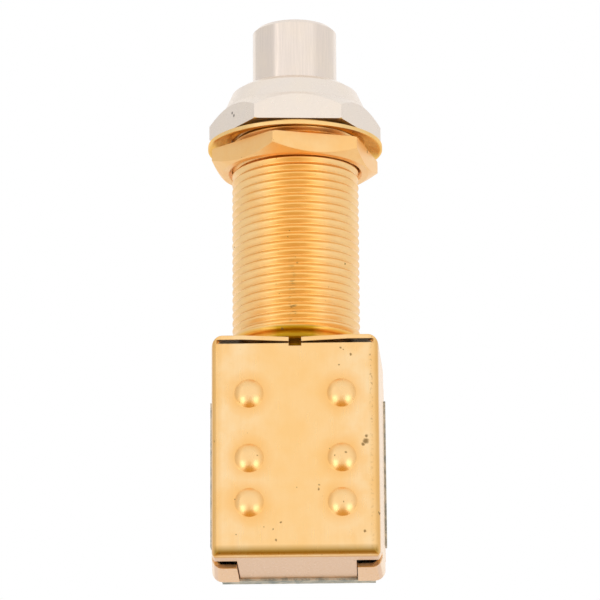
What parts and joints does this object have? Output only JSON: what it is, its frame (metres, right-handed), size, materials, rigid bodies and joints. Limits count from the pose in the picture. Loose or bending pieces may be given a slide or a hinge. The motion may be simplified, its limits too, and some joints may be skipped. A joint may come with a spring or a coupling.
{
  "type": "pushbutton switch",
  "caption": "Momentary pushbutton switch with a plated round button, long threaded bushing, hex nuts, cup washer and a dimpled folded brass shell with solder lugs.",
  "frame": {"origin": "on the bushing's axis, at the shell's top where the bushing seats", "axes": "+Z along the bushing towards the button, -Y out of the dimpled plate, +Y out of the terminal side, +X to the right seen from the plate"},
  "size_m": [0.0164, 0.0207, 0.0522],
  "materials": {
    "shell_brass": "folded sheet, satin, lightly speckled",
    "bushing_brass": "turned and threaded",
    "lock_nut_brass": "machined",
    "washer_brass": "pressed",
    "plate_brass": "stamped",
    "rivet_brass": "headed",
    "contact_bronze": "rolled strip",
    "bezel_nickel": "satin nickel plate",
    "button_nickel": "satin nickel plate",
    "terminal_tinned": "tinned",
    "spring_steel": "drawn wire and strip",
    "ring_steel": "stamped",
    "laminate": "punched laminate with a mottled raw edge",
    "fibre": "vulcanised fibre",
    "moulding": "moulded phenolic"
  },
  "bodies": {
    "switch_body": {"frame": "shell_brass", "bushing": "bushing_brass", "lock_nut": "lock_nut_brass", "cup_washer": "washer_brass", "bezel_nut": "bezel_nickel", "tie_plate": "plate_brass", "insulator_liner": "fibre", "terminal_board": "laminate", "contact_rivets": "rivet_brass", "return_spring": "spring_steel", "terminal_1": "terminal_tinned", "terminal_2": "terminal_tinned", "terminal_3": "terminal_tinned", "terminal_4": "terminal_tinned", "terminal_5": "terminal_tinned", "terminal_6": "terminal_tinned"},
    "plunger": {"button": "button_nickel", "retaining_ring": "ring_steel", "contact_carriage": "moulding", "contact_bridge_left": "contact_bronze", "contact_bridge_right": "contact_bronze", "contact_spring_left": "spring_steel", "contact_spring_right": "spring_steel"}
  },
  "joints": [
    {"name": "button_push", "type": "slide", "parent": "switch_body", "child": "plunger", "axis": [0, 0, -1], "range_m": [0, 0.0042], "stiffness_N_per_m": 500, "springref_m": -0.004, "deforming": ["return_spring"]}
  ]
}
